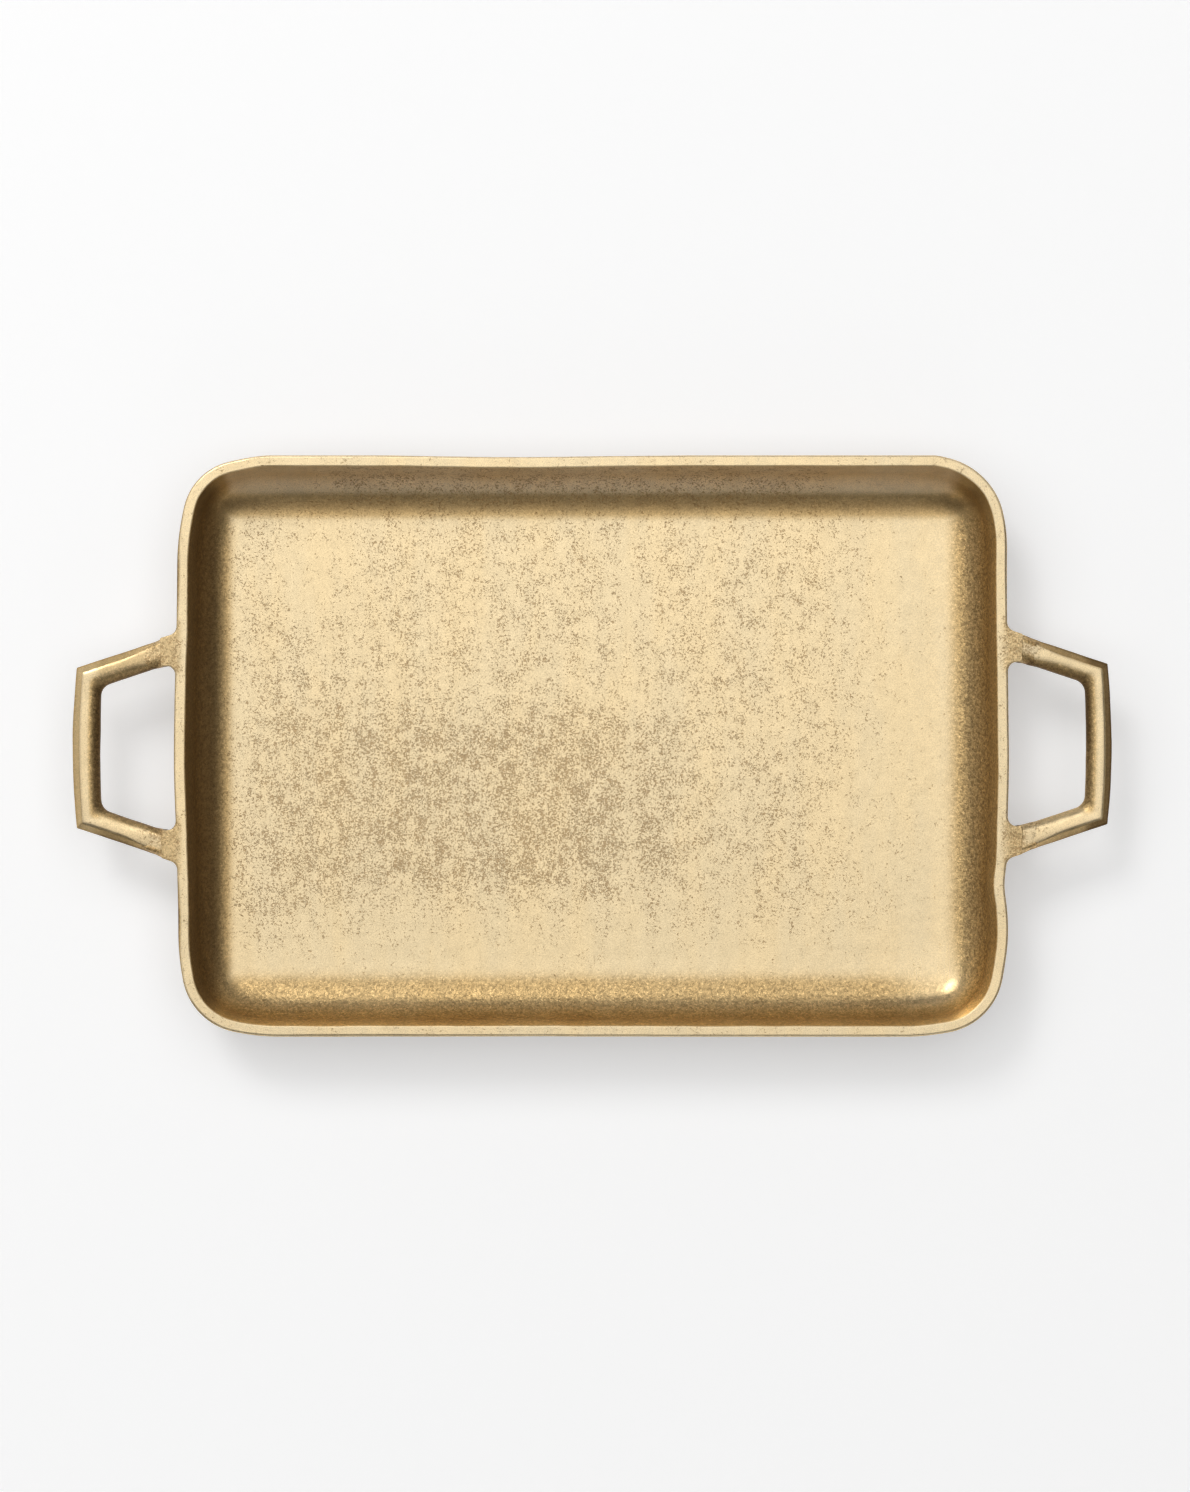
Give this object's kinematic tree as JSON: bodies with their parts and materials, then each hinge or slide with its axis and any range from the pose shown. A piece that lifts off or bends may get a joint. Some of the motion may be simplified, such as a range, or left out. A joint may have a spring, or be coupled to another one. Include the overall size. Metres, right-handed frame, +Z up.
{
  "type": "serving tray",
  "caption": "Shallow rectangular cast brass tray with rounded corners, a flat-dressed rim and an open loop handle at each short end.",
  "frame": {"origin": "middle of the tray's footprint, on the surface that the tray stands on", "axes": "+Z up out of the tray, +X along the tray's length through both handles, +Y across it"},
  "size_m": [0.508, 0.284, 0.038],
  "materials": {
    "cast_brass": "cast brass, polished on its high spots, with fine dark casting pits",
    "braze_metal": "pale filler metal, dressed by hand and slightly lumpy",
    "felt": "dense dark brown wool felt",
    "adhesive": "thin acrylic adhesive film"
  },
  "bodies": {
    "root": {"tray_pan": "cast_brass", "left_handle": "cast_brass", "right_handle": "cast_brass", "left_front_braze": "braze_metal", "left_rear_braze": "braze_metal", "right_front_braze": "braze_metal", "right_rear_braze": "braze_metal", "front_left_foot": "felt", "front_right_foot": "felt", "rear_left_foot": "felt", "rear_right_foot": "felt", "front_left_foot_adhesive": "adhesive", "front_right_foot_adhesive": "adhesive", "rear_left_foot_adhesive": "adhesive", "rear_right_foot_adhesive": "adhesive"}
  },
  "joints": []
}
